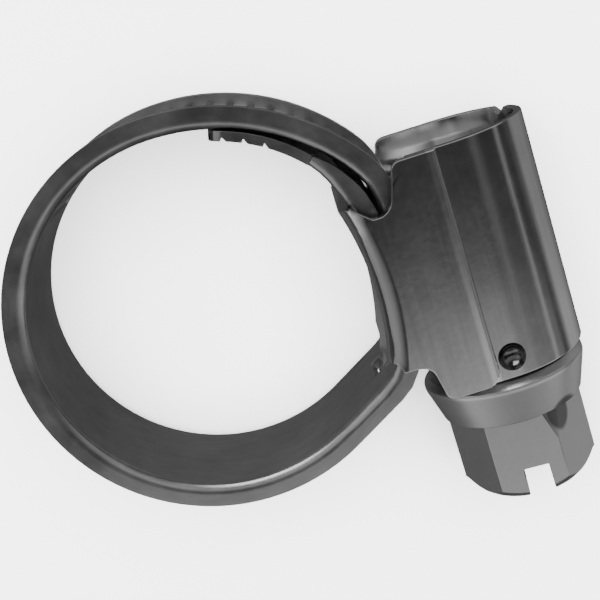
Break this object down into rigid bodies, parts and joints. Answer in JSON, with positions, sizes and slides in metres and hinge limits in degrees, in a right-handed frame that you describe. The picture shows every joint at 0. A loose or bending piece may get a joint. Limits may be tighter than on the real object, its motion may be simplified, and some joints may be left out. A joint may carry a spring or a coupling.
{
  "type": "worm-drive hose clamp",
  "caption": "Narrow worm-drive hose clamp: steel band with turned-up edges through a folded screw housing, with a slotted hexagon-head worm screw.",
  "frame": {"origin": "centre of the ring, half-way across the band", "axes": "+Z along the axis of the hose, +X from the hose to the housing; the screw lies parallel to Y with its head towards -Y"},
  "size_m": [0.033, 0.0294, 0.011],
  "materials": {
    "band_steel": "rolled strip, satin with a lengthwise grain",
    "housing_steel": "bright pressed sheet",
    "screw_steel": "cold-formed, satin"
  },
  "bodies": {
    "clamp": {"band": "band_steel", "housing": "housing_steel"},
    "worm": {"screw": "screw_steel"}
  },
  "joints": [
    {"name": "screw_turn", "type": "hinge", "parent": "clamp", "child": "worm", "pos_m": [0.0159, 0, 0], "axis": [0, 1, 0], "continuous": true, "deforming": ["band"]}
  ]
}
